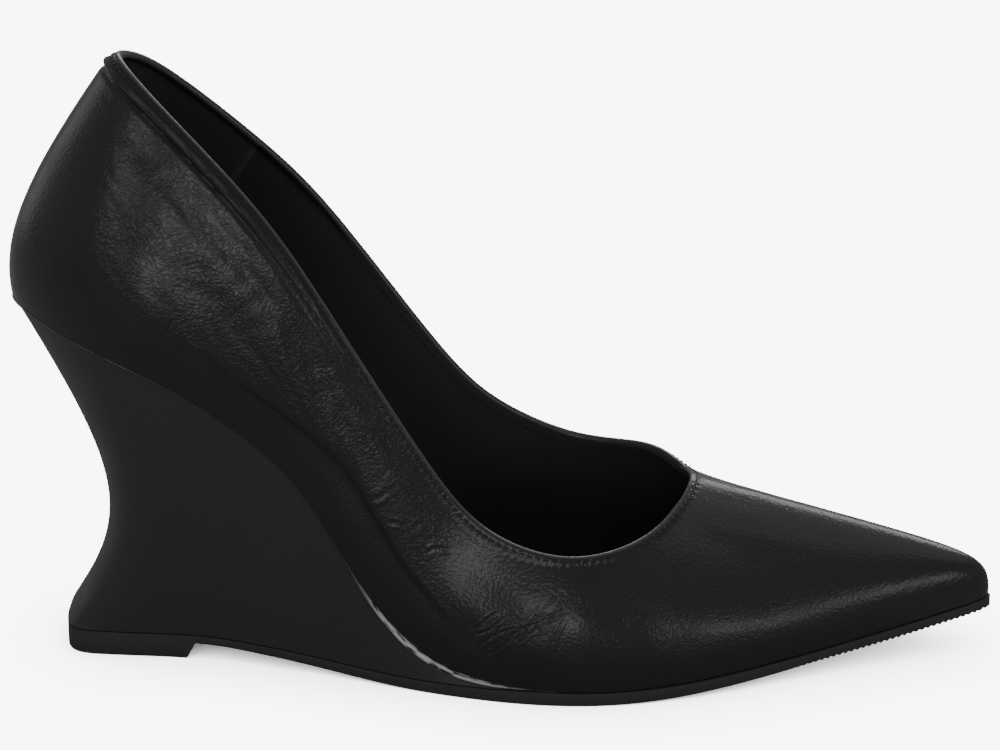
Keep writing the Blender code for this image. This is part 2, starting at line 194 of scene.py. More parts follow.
# Each row: edge (along, fore, lateral, medial, lift, spring, thick), shoulder (out, up, slide,
# sharp), collar (along, lateral, medial, rise lateral, rise medial), as shares of those sizes.
SECTIONS = {
    "back": (
        (0.008, 0.0, 0.000, 0.000, 1.000, 0.00, 1.00),
        (0.055, 0.31, 0.0, 1.3), (0.119, 0.000, 0.000, 1.000, 1.000),
    ),
    "back_turn": (
        (0.028, 0.0, 0.215, 0.215, 0.995, 0.00, 1.00),
        (0.070, 0.31, 0.1, 1.2), (0.126, 0.125, 0.125, 0.996, 0.981),
    ),
    "seat": (
        (0.085, 0.0, 0.446, 0.450, 0.953, 0.00, 1.00),
        (0.095, 0.30, 0.3, 1.0), (0.160, 0.290, 0.285, 0.966, 0.936),
    ),
    "seat_front": (
        (0.160, 0.0, 0.495, 0.475, 0.858, 0.00, 1.00),
        (0.095, 0.29, 0.4, 1.0), (0.247, 0.420, 0.415, 0.775, 0.755),
    ),
    "waist": (
        (0.278, 0.0, 0.490, 0.430, 0.620, 0.00, 1.00),
        (0.080, 0.26, 0.4, 1.0), (0.341, 0.470, 0.465, 0.593, 0.661),
    ),
    "arch": (
        (0.345, 0.15, 0.510, 0.430, 0.360, 0.00, 1.00),
        (0.065, 0.22, 0.4, 1.0), (0.433, 0.505, 0.500, 0.379, 0.526),
    ),
    "joint": (
        (0.435, 0.60, 0.505, 0.455, 0.065, 0.00, 1.00),
        (0.055, 0.23, 0.3, 1.0), (0.500, 0.555, 0.545, 0.510, 0.675),
    ),
    "ball": (
        (0.555, 1.0, 0.525, 0.480, 0.000, 0.00, 1.00),
        (0.045, 0.27, 0.0, 1.2), (0.577, 0.583, 0.583, 0.520, 0.630),
    ),
    "fore": (
        (0.680, 1.0, 0.465, 0.435, 0.000, 0.06, 0.92),
        (0.036, 0.23, 0.0, 1.6), (0.645, 0.420, 0.430, 0.540, 0.642),
    ),
    "toe_side": (
        (0.820, 1.0, 0.262, 0.285, 0.000, 0.38, 0.78),
        (0.022, 0.195, 0.0, 2.4), (0.677, 0.225, 0.240, 0.555, 0.590),
    ),
    "toe_turn": (
        (0.955, 1.0, 0.062, 0.132, 0.000, 0.84, 0.80),
        (0.015, 0.180, 0.0, 3.2), (0.689, 0.090, 0.115, 0.515, 0.515),
    ),
    "tip": (
        (1.000, 1.0, -0.042, 0.042, 0.000, 1.00, 0.82),
        (0.008, 0.165, 0.0, 3.4), (0.692, -0.010, 0.010, 0.500, 0.500),
    ),
}
EDGE = np.array([row[0] for row in SECTIONS.values()])
SHOULDER = np.array([row[1] for row in SECTIONS.values()])
COLLAR = np.array([row[2] for row in SECTIONS.values()])


def around(lateral, medial):
    """A closed ring from two half-rings: back, outer side, tip, inner side."""
    return np.concatenate([lateral, medial[-2:0:-1]])


def edge_and_collar():
    """The lower edge and the collar as rings of points, from the shares in the sections."""
    width = SEAT_WIDTH + (BALL_WIDTH - SEAT_WIDTH) * EDGE[:, 1]
    low_z = EDGE[:, 6] * SOLE_THICK + GAP + EDGE[:, 4] * SEAT_RISE + EDGE[:, 5] * TOE_SPRING
    low_x = EDGE[:, 0] * LENGTH - BACK_TO_ORIGIN
    top_x = COLLAR[:, 0] * LENGTH - BACK_TO_ORIGIN
    low, top = [], []
    for side, sign in ((0, -1), (1, 1)):
        low.append(np.stack([low_x, sign * EDGE[:, 2 + side] * width, low_z], 1))
        rise = COLLAR[:, 3 + side] * COUNTER_HEIGHT
        top.append(np.stack([top_x, sign * COLLAR[:, 1 + side] * SEAT_WIDTH, low_z + rise], 1))
    return around(*low), around(*top)


LOW_RING, TOP_RING = edge_and_collar()
STEP = 0.6 * np.linalg.norm(np.roll(LOW_RING, -1, 0) - LOW_RING, axis=1)
STEP += 0.4 * np.linalg.norm(np.roll(TOP_RING, -1, 0) - TOP_RING, axis=1)
KNOTS = np.concatenate([[0], np.cumsum(STEP)])
ROUND = KNOTS[-1]


def smooth_ring(points, at):
    """Closed cubic curve: slopes solve h1 s0 + 2 (h0 + h1) s1 + h0 s2 = 3 (h1 d0/h0 + h0 d1/h1)."""
    count = len(points)
    here = np.arange(count)
    after, before = STEP, np.roll(STEP, 1)
    system = np.zeros((count, count))
    system[here, here - 1] = after
    system[here, here] = 2 * (before + after)
    system[here, (here + 1) % count] = before
    rise = np.roll(points, -1, 0) - points
    right = 3 * (after / before)[:, None] * np.roll(rise, 1, 0)
    right += 3 * (before / after)[:, None] * rise
    slope = np.linalg.solve(system, right)
    at = np.mod(at, ROUND)
    i = np.clip(np.searchsorted(KNOTS, at, side="right") - 1, 0, count - 1)
    j = (i + 1) % count
    s = ((at - KNOTS[i]) / STEP[i])[..., None]
    h = STEP[i][..., None]
    start = points[i] * (2 * s**3 - 3 * s**2 + 1) + slope[i] * h * (s**3 - 2 * s**2 + s)
    return start + points[j] * (3 * s**2 - 2 * s**3) + slope[j] * h * (s**3 - s**2)


def outward(points, at):
    """Level direction out of a ring: its tangent turned a quarter turn."""
    tiny = ROUND * TINY_SHARE
    run = smooth_ring(points, at + tiny) - smooth_ring(points, at - tiny)
    normal = np.stack([run[..., 1], -run[..., 0], np.zeros(run.shape[:-1])], -1)
    return normal / np.linalg.norm(normal, axis=-1, keepdims=True)


def last_face(at, v):
    """The last's face: a conic arc ((1-v)^2 low + 2 w v (1-v) corner + v^2 top) / (sum of weights)."""
    low = smooth_ring(LOW_RING, at)
    top = smooth_ring(TOP_RING, at)
    shoulder = smooth_ring(around(SHOULDER, SHOULDER), at)
    corner = low + outward(LOW_RING, at) * shoulder[..., :1] * COUNTER_HEIGHT
    corner[..., 2] += shoulder[..., 1] * COUNTER_HEIGHT
    corner[..., 0] += shoulder[..., 2] * (top[..., 0] - low[..., 0])
    v = v[..., None]
    weight = 2 * shoulder[..., 3:] * v * (1 - v)
    return ((1 - v) ** 2 * low + weight * corner + v**2 * top) / ((1 - v) ** 2 + weight + v**2)


def even_rows(at, below_top):
    """Grid of the face at distances below the collar, found along finely sampled columns.

    below_top: function of the columns' heights that gives one distance for each row and column.
    Returns the points, and their distances below the collar and above the lower edge."""
    fine = np.linspace(0, 1, FACE_STEPS + 1)[:, None] * np.ones(len(at))
    face = last_face(at[None] * np.ones_like(fine), fine)
    run = np.linalg.norm(np.diff(face, axis=0), axis=2)
    run = np.vstack([np.zeros(len(at)), np.cumsum(run, axis=0)])
    wanted = run[-1] - below_top(run[-1])
    place = (run[None, 1:-1] < wanted[:, None]).sum(1)
    before = np.take_along_axis(run, place, 0)
    after = np.take_along_axis(run, place + 1, 0)
    v = (place + (wanted - before) / (after - before)) / FACE_STEPS
    v = np.clip(v, 0, 1)
    return last_face(at[None] * np.ones_like(v), v), run[-1] - wanted, wanted


def grid_normals(points):
    """Unit normals of a grid that is closed sideways: sideways step crossed with upward step."""
    sideways = np.roll(points, -1, 1) - np.roll(points, 1, 1)
    normal = np.cross(sideways, np.gradient(points, axis=0))
    return normal / np.linalg.norm(normal, axis=2, keepdims=True)


def ease(low, high, value):
    """Smooth step from 0 at low to 1 at high: 3 t^2 - 2 t^3."""
    t = np.clip((value - low) / (high - low), 0, 1)
    return t * t * (3 - 2 * t)


def bell(distance, width):
    """Soft ridge exp(-(distance / width)^2)."""
    return np.exp(-((distance / width) ** 2))


def grid_faces(rows, columns, close_rows):
    """Quads of a grid that is closed sideways, and up and over if close_rows is set."""
    row = np.arange(rows if close_rows else rows - 1)[:, None]
    column = np.arange(columns)[None]
    above, beside = (row + 1) % rows, (column + 1) % columns
    quads = [row * columns + column, row * columns + beside]
    quads += [above * columns + beside, above * columns + column]
    return np.stack(quads, 2).reshape(-1, 4)


def tube_faces(rows, columns, flip=False):
    """Quads of a tube made of loops, with a face over each end; flip turns all of them round."""
    start = list(range(columns))[::-1]
    end = list(range((rows - 1) * columns, rows * columns))
    faces = grid_faces(rows, columns, False).tolist() + [start, end]
    return [face[::-1] for face in faces] if flip else faces


def new_piece(name, points, faces, material, smooth_angle=50):
    """A mesh object at the origin, smooth but for edges sharper than an angle in degrees."""
    mesh = bpy.data.meshes.new(name)
    mesh.from_pydata(points.reshape(-1, 3), [], faces)
    mesh.shade_smooth()
    mesh.set_sharp_from_angle(angle=math.radians(smooth_angle))
    mesh.materials.append(material)
    piece = bpy.data.objects.new(name, mesh)
    bpy.context.scene.collection.objects.link(piece)
    return piece


def add_mask(piece, name, values):
    """A value for each point of the mesh, for the material to read."""
    mask = piece.data.attributes.new(name, "FLOAT", "POINT")
    mask.data.foreach_set("value", np.ascontiguousarray(values, np.float32).ravel())


# Finishes that several pieces share: a crinkled glaze over leather, as node groups.
# Coordinates are the object's own, in millimetres.
def new_group(name, inputs):
    """An empty node group that gives a Height: inputs by name, a default or None for a vector."""
    group = bpy.data.node_groups.new(name, "ShaderNodeTree")
    for socket, default in inputs.items():
        kind = "NodeSocketVector" if default is None else "NodeSocketFloat"
        made = group.interface.new_socket(socket, in_out="INPUT", socket_type=kind)
        if default is not None:
            made.default_value = default
    group.interface.new_socket("Height", in_out="OUTPUT", socket_type="NodeSocketFloat")
    return group, group.nodes.new("NodeGroupInput"), group.nodes.new("NodeGroupOutput")


def mask_node(tree, name):
    """Output of a value that the mesh holds for each point."""
    return add_node(tree, "Attribute", attribute_name=name).outputs["Fac"]


def crinkle_group():
    """Veined crinkles: valleys where a noise crosses its middle, with low pillows between them.

    The coordinates are bent by a slower noise first."""
    sockets = {"Vector": None, "Size mm": 2.2, "Bend mm": 3.0, "Width": 0.11}
    group, given, result = new_group("crinkle", sockets)
    place = given.outputs["Vector"]
    slow = {"Vector": place, "Scale": 0.14, "Detail": 1.0}
    slow = add_node(group, "TexNoise", slow).outputs["Color"]
    bend = {0: slow, "Scale": given.outputs["Bend mm"]}
    bend = add_node(group, "VectorMath", bend, operation="SCALE").outputs[0]
    bent = add_node(group, "VectorMath", {0: bend, 1: place}, operation="ADD").outputs[0]
    size = math_node(group, "DIVIDE", 1.0, given.outputs["Size mm"])
    veins = {"Vector": bent, "Scale": size, "Detail": 1.8, "Roughness": 0.5}
    veins = add_node(group, "TexNoise", veins).outputs[0]
    fold = math_node(group, "ABSOLUTE", math_node(group, "SUBTRACT", veins, 0.5))
    valley = math_node(group, "DIVIDE", fold, given.outputs["Width"], clamp=True)
    rounded = math_node(group, "POWER", valley, 0.7)
    pillow = math_node(group, "MULTIPLY", veins, 1.2)
    group.links.new(math_node(group, "ADD", rounded, pillow), result.inputs["Height"])
    return group


GATHER_BELOW_MM = 2.1


def gather_group():
    """Gathers across the collar's seam: a wave along the edge, strongest one stitch below it."""
    sockets = {"Run mm": 0.0, "Below mm": 9.0, "Pitch mm": 2.0, "Reach mm": 1.3}
    group, given, result = new_group("gathers", sockets)
    turns = math_node(group, "DIVIDE", given.outputs["Run mm"], given.outputs["Pitch mm"])
    wave = math_node(group, "SINE", math_node(group, "MULTIPLY", turns, 2 * math.pi))
    off = math_node(group, "SUBTRACT", given.outputs["Below mm"], GATHER_BELOW_MM)
    share = math_node(group, "DIVIDE", off, given.outputs["Reach mm"])
    fade = math_node(group, "MULTIPLY", math_node(group, "MULTIPLY", share, share), -1.0)
    strength = math_node(group, "EXPONENT", fade)
    group.links.new(math_node(group, "MULTIPLY", wave, strength), result.inputs["Height"])
    return group


def pore_group():
    """Fine leather pores: the distance to small cells' centres, softened."""
    group, given, result = new_group("pores", {"Vector": None, "Size mm": 0.75})
    size = math_node(group, "DIVIDE", 1.0, given.outputs["Size mm"])
    cells = {"Vector": given.outputs["Vector"], "Scale": size}
    cells = add_node(group, "TexVoronoi", cells, feature="SMOOTH_F1")
    group.links.new(cells.outputs["Distance"], result.inputs["Height"])
    return group


CRINKLE = crinkle_group()
PORES = pore_group()
GATHERS = gather_group()
COAT_ROUGHNESS = 0.2
GLOSS_SPREAD = (0.04, 0.06)
PER_MM = (1000, 1000, 1000)


def leather_material(name, color, roughness, coat, pore_mm):
    """Leather: fine pores all over, and a gloss that breaks up a little with a slow noise.

    Returns the material, and the bump node on which further relief is laid."""
    material = plain_material(name, color, roughness)
    tree = material.node_tree
    shader = tree.nodes["Principled BSDF"]
    shader.inputs["Coat Weight"].default_value = coat
    shader.inputs["Coat Roughness"].default_value = COAT_ROUGHNESS
    place = add_node(tree, "TexCoord").outputs["Object"]
    in_mm = add_node(tree, "Mapping", {"Vector": place, "Scale": PER_MM}).outputs[0]
    pores = add_node(tree, "Group", {"Vector": in_mm}, node_tree=PORES)
    bump = add_node(tree, "Bump", {"Distance": pore_mm * MM, "Height": pores.outputs[0]})
    feed(material, "Normal", bump.outputs[0])
    gloss = add_node(tree, "TexNoise", {"Vector": in_mm, "Scale": 0.09, "Detail": 3.0})
    spread = {"Value": gloss.outputs[0], "From Min": 0.3, "From Max": 0.7}
    spread |= {"To Min": roughness - GLOSS_SPREAD[0], "To Max": roughness + GLOSS_SPREAD[1]}
    spread = add_node(tree, "MapRange", spread)
    feed(material, "Roughness", spread.outputs[0])
    return material, bump


def lay_bump(material, under, height, depth_mm, mask=None):
    """Further relief on a material: a height in shares of depth_mm, where a mask allows it."""
    tree = material.node_tree
    if mask:
        height = math_node(tree, "MULTIPLY", height, mask_node(tree, mask))
    bump = add_node(tree, "Bump", {"Distance": depth_mm * MM, "Height": height})
    tree.links.new(under.outputs[0], bump.inputs["Normal"])
    feed(material, "Normal", bump.outputs[0])
    return bump


def lay_crinkle(material, under, mask, turn, scale, size_mm, width, depth_mm):
    """Crinkles that run along a direction: coordinates turned about Y by turn, in degrees.

    scale: parts per metre along the three turned directions, so a low one draws them out."""
    tree = material.node_tree
    place = add_node(tree, "TexCoord").outputs["Object"]
    turned = {"Vector": place, "Rotation": (0, math.radians(turn), 0)}
    turned = add_node(tree, "Mapping", turned).outputs[0]
    spread = add_node(tree, "Mapping", {"Vector": turned, "Scale": scale}).outputs[0]
    crinkle = {"Vector": spread, "Size mm": size_mm, "Width": width}
    crinkle = add_node(tree, "Group", crinkle, node_tree=CRINKLE)
    return lay_bump(material, under, crinkle.outputs[0], depth_mm, mask)


# Upper: one piece of thin glazed black leather, lasted over a stiff counter and toe puff.
# Its edge is turned over a tape around the collar, with a soft ridge and a groove below it.
WALL = 1.8 * MM
SKIN = 0.9 * MM
UPPER_COLUMNS = 700
UPPER_ROWS = 88
HEM_ROWS = 26
HEM_REACH = 9.0 * MM
HEM_STEP = 0.3 * MM
HEM_TOP = 1.2 * MM
HEM_FOOT = 3.4 * MM
RIDGE_BELOW = 3.7 * MM
GROOVE_BELOW = 5.1 * MM
# Relief of the leather: RISE and DEPTH off the last, BELOW the collar, ABOVE the tight line.
RIDGE_RISE = 0.70 * MM
GROOVE_DEPTH = 0.60 * MM
RIDGE_WIDE = 0.7 * MM
HEEL_LEAN = 0.9 * MM
LEAN_BELOW = (0.2 * MM, 3.6 * MM)
BAND_BELOW = (2.3 * MM, 3.1 * MM)
PUFF_RISE = 0.9 * MM
PUFF_ABOVE = (-0.3 * MM, 1.9 * MM)
PUFF_FADE = (2.5 * MM, 17 * MM)
TROUGH_DEPTH = (0.25 * MM, 0.50 * MM)
TROUGH_DEEPEST = (57 * MM, 18 * MM)
TROUGH_WIDEST = (59 * MM, 12 * MM)
TROUGH_UNDER_MM = 4.2
TROUGH_OVER_MM = (1, 1.5)
DIP_DEPTH = 0.45 * MM
SEAM_DEPTH = 0.32 * MM
SEAM_PUCKER = 0.12 * MM
SOFT_RISE = 0.10 * MM
SMALL_RISE = 0.05 * MM
FLEX_LINE = (92 * MM, 11 * MM, 0.55)
ROLL_DEGREES = np.arange(20, 181, 20)
TURNED_DOWN = (0.6 * MM, 1.2 * MM, 1.5 * MM)
BACK_ROW_STEP = 6
BACK_ROWS_CUT = 14
CROWD_FINE = 4001
CROWDED_X = 93 * MM
CROWDED_WIDE = 26 * MM
CROWDING = (0.3, 1.7)
# Painted highlight along the collar's turned edge: shares of a lighter grey on the roll's outer rows on
# the near side and on its inner rows on the far side, then that grey.
RIM_NEAR = (0.2, 1.0, 0.6, 0.0)
RIM_FAR = (0.2, 0.7, 1.0, 0.7, 0.2)
BLACK = (0.0195, 0.0195, 0.0222, 1)
RIM_HIGHLIGHT_GREY = (0.09, 0.09, 0.094, 1)
UPPER_COAT = 0.25
# Finishes, here and below: roughness, coat, and depth of the pores in mm.
UPPER_FINISH = (0.235, UPPER_COAT, 0.08)
GATHER_DEPTH_MM = 0.07
# Turn in degrees, parts per metre along three directions, size in mm, width, depth in mm.
CRINKLES = {
    "crinkle": (8, (640, 860, 1000), 1.1, 0.12, 0.085),
    "flex": (40, (280, 500, 1000), 1.3, 0.08, 0.13),
}
# Where the leather lies tight on the last's edge, and puffs out above: x, height above the
# lower edge, in mm.
TIGHT_LINE = np.array(
    [(-30, 19), (-8, 18.5), (2, 16.8), (11, 14), (20, 12.7), (32, 11.6), (45, 12.4), (58, 14.4)]
    + [(65, 13.6), (71, 13), (79, 13.2), (90, 10), (102, 7), (125, 6), (165, 6), (225, 5)]
)
# Stretches along the shoe: x where each starts, is full, starts to fade and is gone, in mm.
STRETCHES = {
    "heel": (-60, -50, 20, 70),
    "loose": (-6, 12, 66, 88),
    "dip": (-60, -50, 50, 70),
    "soft": (5, 30, 120, 200),
    "small": (-8, 6, 50, 85),
    "quarter": (-10, 4, 70, 112),
    "vamp": (90, 130, 170, 215),
    "ball": (86, 92, 108, 117),
    "instep": (25, 40, 78, 88),
    "band": (-60, -50, 30, 75),
}
# Uneven patterns: a, b, c, d, e, f of wavelets.
SMALL_WAVES = (820, 2.4, 310, 640, 2, 280)
PATCH_WAVES = (420, 3, 300, 380, 2, 250)
# Creases on the outer side, as a foot bends it. start, end: x and distance above the lower
# edge, in mm. bow: sideways bulge. width, depth in mm.
CREASES = {
    "instep_high": ((63.4, 15.0), (72.3, 26.7), -0.5, 0.32, 0.13),
    "instep_high_twin": ((66.9, 18.7), (73.4, 28.7), 0.4, 0.30, 0.12),
    "instep_mid": ((68.4, 16.4), (73.3, 20.2), 0.3, 0.30, 0.09),
    "instep_low": ((74.9, 21.2), (77.3, 24.4), 0.2, 0.30, 0.08),
    "joint_high": ((78.3, 20.9), (84.0, 26.1), 0.4, 0.30, 0.08),
    "ball_top": ((91.4, 14.0), (96.5, 19.7), 0.4, 0.38, 0.18),
    "ball_long": ((89.5, 11.4), (97.9, 18.8), -0.6, 0.38, 0.20),
    "ball_low": ((92.0, 10.1), (100.7, 16.5), 0.7, 0.40, 0.22),
    "ball_edge": ((95.5, 9.2), (101.4, 16.6), -0.4, 0.38, 0.20),
    "ball_mid": ((99.6, 14.3), (106.8, 18.6), 0.6, 0.38, 0.20),
    "ball_fork": ((101.7, 12.2), (105.1, 16.3), 0.3, 0.36, 0.18),
    "ball_far": ((107.6, 19.3), (112.3, 21.6), -0.3, 0.36, 0.15),
    "ball_steep": ((109.7, 12.2), (112.6, 19.6), 0.5, 0.38, 0.18),
    "ball_cross": ((104.6, 17.0), (106.9, 21.5), -0.3, 0.36, 0.15),
}


def stretch(name, x):
    """1 along a named stretch of the shoe, eased in and out at its ends."""
    start, full, fade, gone = np.multiply(STRETCHES[name], MM)
    return ease(start, full, x) * ease(gone, fade, x)


def wavelets(x, u, waves):
    """Uneven pattern of x and a second measure: sin(a x + b sin(c u)) sin(d u + e sin(f x))."""
    a, b, c, d, e, f = waves
    return np.sin(a * x + b * np.sin(c * u)) * np.sin(d * u + e * np.sin(f * x))


def crease_relief(x, above):
    """Troughs along bowed lines, each with a soft ridge on both sides, fading at its ends."""
    relief = np.zeros_like(x)
    for start, end, bow, width, depth in CREASES.values():
        start, end = np.multiply(start, MM), np.multiply(end, MM)
        line = end - start
        length = np.hypot(*line)
        along = ((x - start[0]) * line[0] + (above - start[1]) * line[1]) / length**2
        off = ((above - start[1]) * line[0] - (x - start[0]) * line[1]) / length
        off = off - bow * MM * np.sin(np.pi * np.clip(along, 0, 1))
        fade = ease(-0.15, 0.3, along) * ease(1.15, 0.7, along)
        trough = 0.6 * bell(off, 0.8 * width * MM)
        ridge = bell(np.abs(off) - 1.5 * width * MM, 0.65 * width * MM)
        relief += depth * MM * (ridge - trough) * fade
    return relief


def heel_lean(x, below):
    """How far the band under the collar leans in at the heel: nothing at the ridge, most on top."""
    return HEEL_LEAN * stretch("heel", x) * ease(LEAN_BELOW[1], LEAN_BELOW[0], below)


def above_tight(x, above):
    """Distance above the line where the leather lies tight."""
    return above - np.interp(x / MM, TIGHT_LINE[:, 0], TIGHT_LINE[:, 1]) * MM


def puff_relief(x, below, above):
    """The leather's puff over the tight line, with a soft trough along that line."""
    past = above_tight(x, above)
    held = ease(22 * MM, 45 * MM, x)
    fall = ease(PUFF_FADE[1], PUFF_FADE[0], past)
    full = held * ease(1 * MM, 10 * MM, below) + (1 - held) * fall
    puff = PUFF_RISE * ease(*PUFF_ABOVE, past) * full
    over = TROUGH_OVER_MM[0] + TROUGH_OVER_MM[1] * bell(x - TROUGH_WIDEST[0], TROUGH_WIDEST[1])
    trough = bell(past, np.where(past < 0, TROUGH_UNDER_MM, over) * MM)
    shallow, deep = TROUGH_DEPTH
    depth = shallow + (deep - shallow) * bell(x - TROUGH_DEEPEST[0], TROUGH_DEEPEST[1])
    return stretch("loose", x) * (puff - depth * trough)


def upper_relief(points, below, above):
    """How far the leather stands off the last, from its place, below the collar, above the edge."""
    x, y = points[..., 0], points[..., 1]
    heel = stretch("heel", x)
    relief = HEM_STEP * (1 - heel) * ease(HEM_FOOT, HEM_TOP, below)
    wavy = 1 + 0.35 * np.sin(x * 900 + 2 * np.sin(x * 260)) * ease(-15 * MM, 5 * MM, x)
    relief += RIDGE_RISE * heel * wavy * bell(below - RIDGE_BELOW, RIDGE_WIDE)
    relief -= GROOVE_DEPTH * heel * bell(below - GROOVE_BELOW, RIDGE_WIDE)
    relief -= heel_lean(x, below)
    relief += puff_relief(x, below, above)
    dip = stretch("loose", x) * stretch("dip", x)
    relief -= DIP_DEPTH * dip * bell(below - 12 * MM, 5 * MM)
    relief += ease(4 * MM, -4 * MM, y) * crease_relief(x, above)
    seam = ease(-12 * MM, -20 * MM, x) * ease(20 * MM, 0, np.abs(y))
    relief -= SEAM_DEPTH * seam * bell(y, 0.45 * MM)
    relief += SEAM_PUCKER * seam * bell(np.abs(y) - 1.5 * MM, 0.7 * MM)
    soft = np.sin(x * 310 + above * 160) * np.sin(above * 260 - x * 90 + 1.3)
    relief += SOFT_RISE * soft * stretch("soft", x) * ease(6 * MM, 14 * MM, below)
    small = wavelets(x, above, SMALL_WAVES) * ease(0, 5 * MM, above_tight(x, above))
    return relief + SMALL_RISE * small * stretch("small", x) * ease(GROOVE_BELOW, 9 * MM, below)


def upper_profile(at):
    """Closed profile of the leather: up the outer face, over the turned edge, back down inside."""
    share = np.linspace(1, 0, UPPER_ROWS)[:, None]
    hem = np.linspace(1, 0, HEM_ROWS)[1:, None] * HEM_REACH * np.ones(len(at))

    def below_top(height):
        return np.vstack([share * (height - HEM_REACH) + HEM_REACH, hem])

    face, below, above = even_rows(at, below_top)
    normal = grid_normals(face)
    outer = face + normal * upper_relief(face, below, above)[..., None]
    upward = outer[-1] - outer[-2]
    upward /= np.linalg.norm(upward, axis=1, keepdims=True)
    radius = (WALL + HEM_STEP) / 2
    middle = outer[-1] - normal[-1] * radius - upward * radius
    turn = np.radians(ROLL_DEGREES)[:, None, None]
    roll = middle + radius * (np.cos(turn) * normal[-1] + np.sin(turn) * upward)
    outer[-1] = outer[-1] - upward * radius
    keep = below[:, 0] > radius
    keep[-1] = True
    inside = roll[-1] - upward * np.array(TURNED_DOWN)[:, None, None]
    inside[-1] += normal[-1] * (WALL - SKIN)
    back = (face - normal * SKIN)[::BACK_ROW_STEP][::-1]
    rows = [outer[keep], roll, inside, back[len(back) // BACK_ROWS_CUT :]]
    counts = [len(block) for block in rows]
    return np.concatenate(rows), face, below, above, keep, counts


def crowded_places(count):
    """Places around the shoe, closer together on the outer side and most at the ball."""
    fine = np.linspace(0, ROUND, CROWD_FINE)
    at_ball = bell(smooth_ring(LOW_RING, fine)[:, 0] - CROWDED_X, CROWDED_WIDE)
    crowd = np.where(fine < KNOTS[11], CROWDING[0] + CROWDING[1] * at_ball, 0)
    crowd = np.concatenate([[0], np.cumsum(1 + crowd[:-1])])
    return np.interp(np.arange(count) / count * crowd[-1], crowd, fine)


upper_at = crowded_places(UPPER_COLUMNS)
upper_grid, upper_face, upper_below, upper_above, upper_kept, upper_counts = upper_profile(upper_at)
upper_leather, pore_bump = leather_material("upper_leather", BLACK, *UPPER_FINISH)
vein_bump = lay_crinkle(upper_leather, pore_bump, "crinkle", *CRINKLES["crinkle"])
flex_bump = lay_crinkle(upper_leather, vein_bump, "flex", *CRINKLES["flex"])
flex_bump.invert = True
upper_tree = upper_leather.node_tree
gathers = {"Run mm": mask_node(upper_tree, "collar_run")}
gathers["Below mm"] = mask_node(upper_tree, "below_collar")
gathers = add_node(upper_tree, "Group", gathers, node_tree=GATHERS)
lay_bump(upper_leather, flex_bump, gathers.outputs[0], GATHER_DEPTH_MM, "gathered")
less_coat = math_node(upper_tree, "MULTIPLY", mask_node(upper_tree, "band"), -UPPER_COAT)
feed(upper_leather, "Coat Weight", math_node(upper_tree, "ADD", less_coat, UPPER_COAT))
# A painted highlight: lighter grey mixed into the black along the collar's turned edge.
upper_color = mix_node(upper_tree, mask_node(upper_tree, "rim"), BLACK, RIM_HIGHLIGHT_GREY)
feed(upper_leather, "Base Color", upper_color)
upper_faces = grid_faces(*upper_grid.shape[:2], True)
upper = new_piece("upper_leather", upper_grid, upper_faces, upper_leather)


def upper_masks(x, below, above):
    """Where the glaze is crinkled, bent into fine folds and gathered, and the leaning band."""
    past = above_tight(x, above)
    patch = 0.62 + 0.38 * wavelets(x, above, PATCH_WAVES)
    quarter = patch * stretch("quarter", x) * ease(0.4 * MM, 2.2 * MM, past)
    quarter *= ease(RIDGE_BELOW, GROOVE_BELOW, below)
    quarter *= 1 - 0.55 * ease(28 * MM, 45 * MM, x) * ease(7 * MM, 11 * MM, below)
    vamp = 0.32 * stretch("vamp", x) * ease(4 * MM, 9 * MM, above)
    collar = 0.8 * bell(below - 4 * MM, 2.5 * MM) * bell(x - 70 * MM, 16 * MM)
    line_x, line_above, slope = FLEX_LINE
    off_line = np.abs(above - line_above - (x - line_x) * slope)
    flex = stretch("ball", x) * bell(off_line, 4.5 * MM)
    flex += 0.15 * patch * stretch("instep", x) * ease(1 * MM, 4 * MM, past)
    band = stretch("band", x) * ease(BAND_BELOW[1], BAND_BELOW[0], below)
    crinkle = np.clip(quarter + vamp + collar, 0, 1)
    gathered = ease(75 * MM, 105 * MM, x)
    return {"crinkle": crinkle, "flex": flex, "gathered": gathered, "band": band}


def outer_values(values):
    """Values on the outer face's kept rows, and none on the rest of the leather."""
    full = np.zeros(upper_grid.shape[:2])
    full[: upper_counts[0]] = values[upper_kept]
    return full


for mask_name, mask_values in upper_masks(upper_face[..., 0], upper_below, upper_above).items():
    add_mask(upper, mask_name, outer_values(mask_values))
collar_step = np.linalg.norm(upper_face[-1] - np.roll(upper_face[-1], 1, 0), axis=1) / MM
collar_step[0] = 0
add_mask(upper, "collar_run", np.cumsum(collar_step) * np.ones(upper_grid.shape[:2]))
# Painted highlight on the turned edge: its outer rows on the near side and its inner rows on the far
# side, where each is seen.
rim = np.zeros(upper_grid.shape[:2])
rim_rows = rim[upper_counts[0] :]
rim_far = ease(-2 * MM, 4 * MM, upper_face[-1, :, 1])
rim_rows[: len(RIM_NEAR)] = np.array(RIM_NEAR)[:, None] * (1 - rim_far)
rim_rows[len(RIM_NEAR) : len(RIM_NEAR + RIM_FAR)] = np.array(RIM_FAR)[:, None] * rim_far
add_mask(upper, "rim", rim)
add_mask(upper, "below_collar", outer_values(upper_below / MM))
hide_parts("upper")
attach(upper, "root")


# Lining: thin black leather glued inside the upper, from just under the turned edge to the sole.
# A separate heel piece laps over it at the quarter.
LINING_TOP = 0.9 * MM
LINING_PROUD = 0.15 * MM
LINING_COLUMNS = 480
LINING_ROWS = 60
LINING_BLACK = (0.055, 0.055, 0.0565, 1)
LINING_FINISH = (0.6, 0.0, 0.03)
HEEL_LAP_X = 33.5 * MM
HEEL_LINING = (0.070, 0.070, 0.072, 1)
LAP_LINE = (0.11, 0.11, 0.113, 1)
LAP_THICK = 0.4 * MM
LAP_EASE = 0.6 * MM
LAP_LEAN = 0.5
LAP_ACROSS_MM = 20
